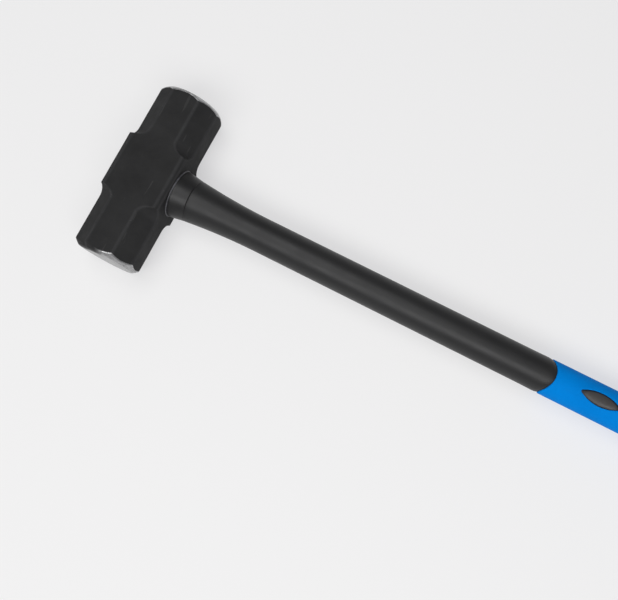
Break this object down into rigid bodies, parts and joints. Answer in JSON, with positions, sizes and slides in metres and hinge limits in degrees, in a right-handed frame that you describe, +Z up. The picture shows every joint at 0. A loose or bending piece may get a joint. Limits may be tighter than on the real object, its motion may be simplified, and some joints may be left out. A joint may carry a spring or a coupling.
{
  "type": "sledgehammer",
  "caption": "Double-face sledgehammer: forged octagonal steel head resin-bonded to a fibreglass handle with a black jacket, collar and soft blue grip.",
  "frame": {"origin": "centre of the object's footprint on the ground, as the hammer lies", "axes": "+X along the handle from the head to the butt, +Y along the head, +Z up"},
  "size_m": [0.9004, 0.182, 0.0626],
  "materials": {
    "forged_steel": "satin black baked finish on forged steel, ground bright on the bevels and faces",
    "fibreglass": "pultruded glass fibre in resin",
    "resin": "cast resin",
    "foam_rubber": "closed-cell foam rubber",
    "resin_grey": "matt resin bead",
    "collar_plastic": "satin moulded polypropylene",
    "jacket_plastic": "satin moulded polypropylene, finely textured",
    "grip_rubber": "soft matt thermoplastic rubber"
  },
  "bodies": {
    "root": {"head": "forged_steel", "fibre_core": "fibreglass", "eye_epoxy": "resin", "eye_dam": "foam_rubber", "resin_bead": "resin_grey", "overstrike_collar": "collar_plastic", "jacket": "jacket_plastic", "grip": "grip_rubber", "butt_plug": "collar_plastic"}
  },
  "joints": []
}
